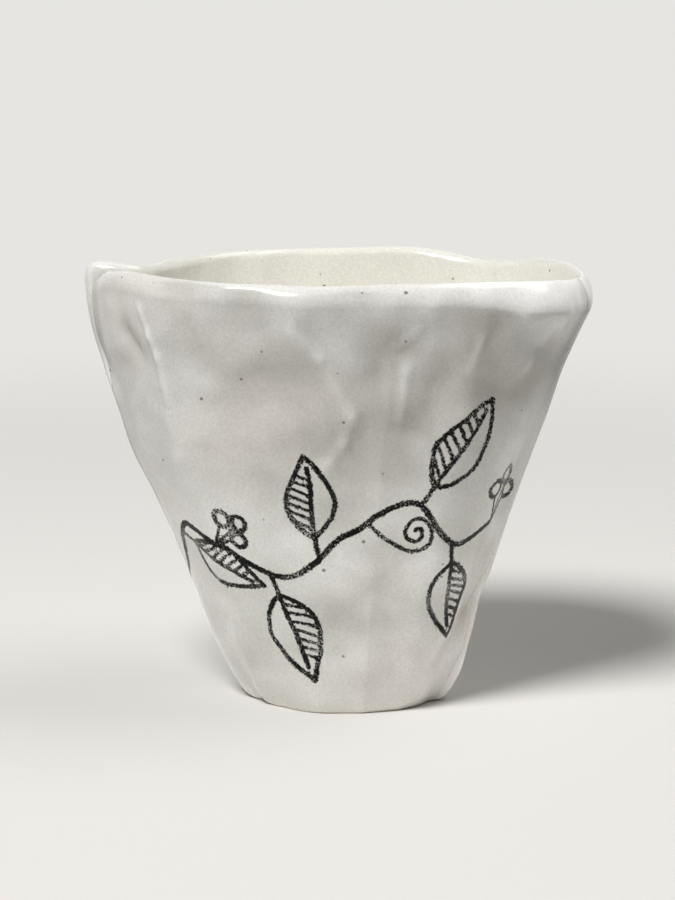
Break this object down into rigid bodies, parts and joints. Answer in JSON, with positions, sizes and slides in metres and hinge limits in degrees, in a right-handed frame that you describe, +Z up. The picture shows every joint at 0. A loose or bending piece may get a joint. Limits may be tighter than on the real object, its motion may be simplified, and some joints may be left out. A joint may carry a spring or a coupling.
{
  "type": "handleless cup",
  "caption": "Slab-built handleless cup in glazed pale clay: bent wall slabs round a floor slab, a pinched seam on the left, a lapped seam on the right, an uneven round lip and a flat foot.",
  "frame": {"origin": "middle of the flat underside, on the table plane", "axes": "+X to the lapped seam's side, the cup's width; -Y to the front, the decorated side; +Z up to the rim"},
  "size_m": [0.1001, 0.0772, 0.0872],
  "materials": {
    "glazed_clay": "glossy clear glaze over pale clay",
    "bare_clay": "glazed above, bare matte clay below"
  },
  "bodies": {
    "root": {"base_slab": "bare_clay", "front_wall_slab": "glazed_clay", "back_wall_slab": "glazed_clay", "base_seam_coil": "glazed_clay", "left_seam_coil": "glazed_clay", "right_seam_coil": "glazed_clay"}
  },
  "joints": []
}
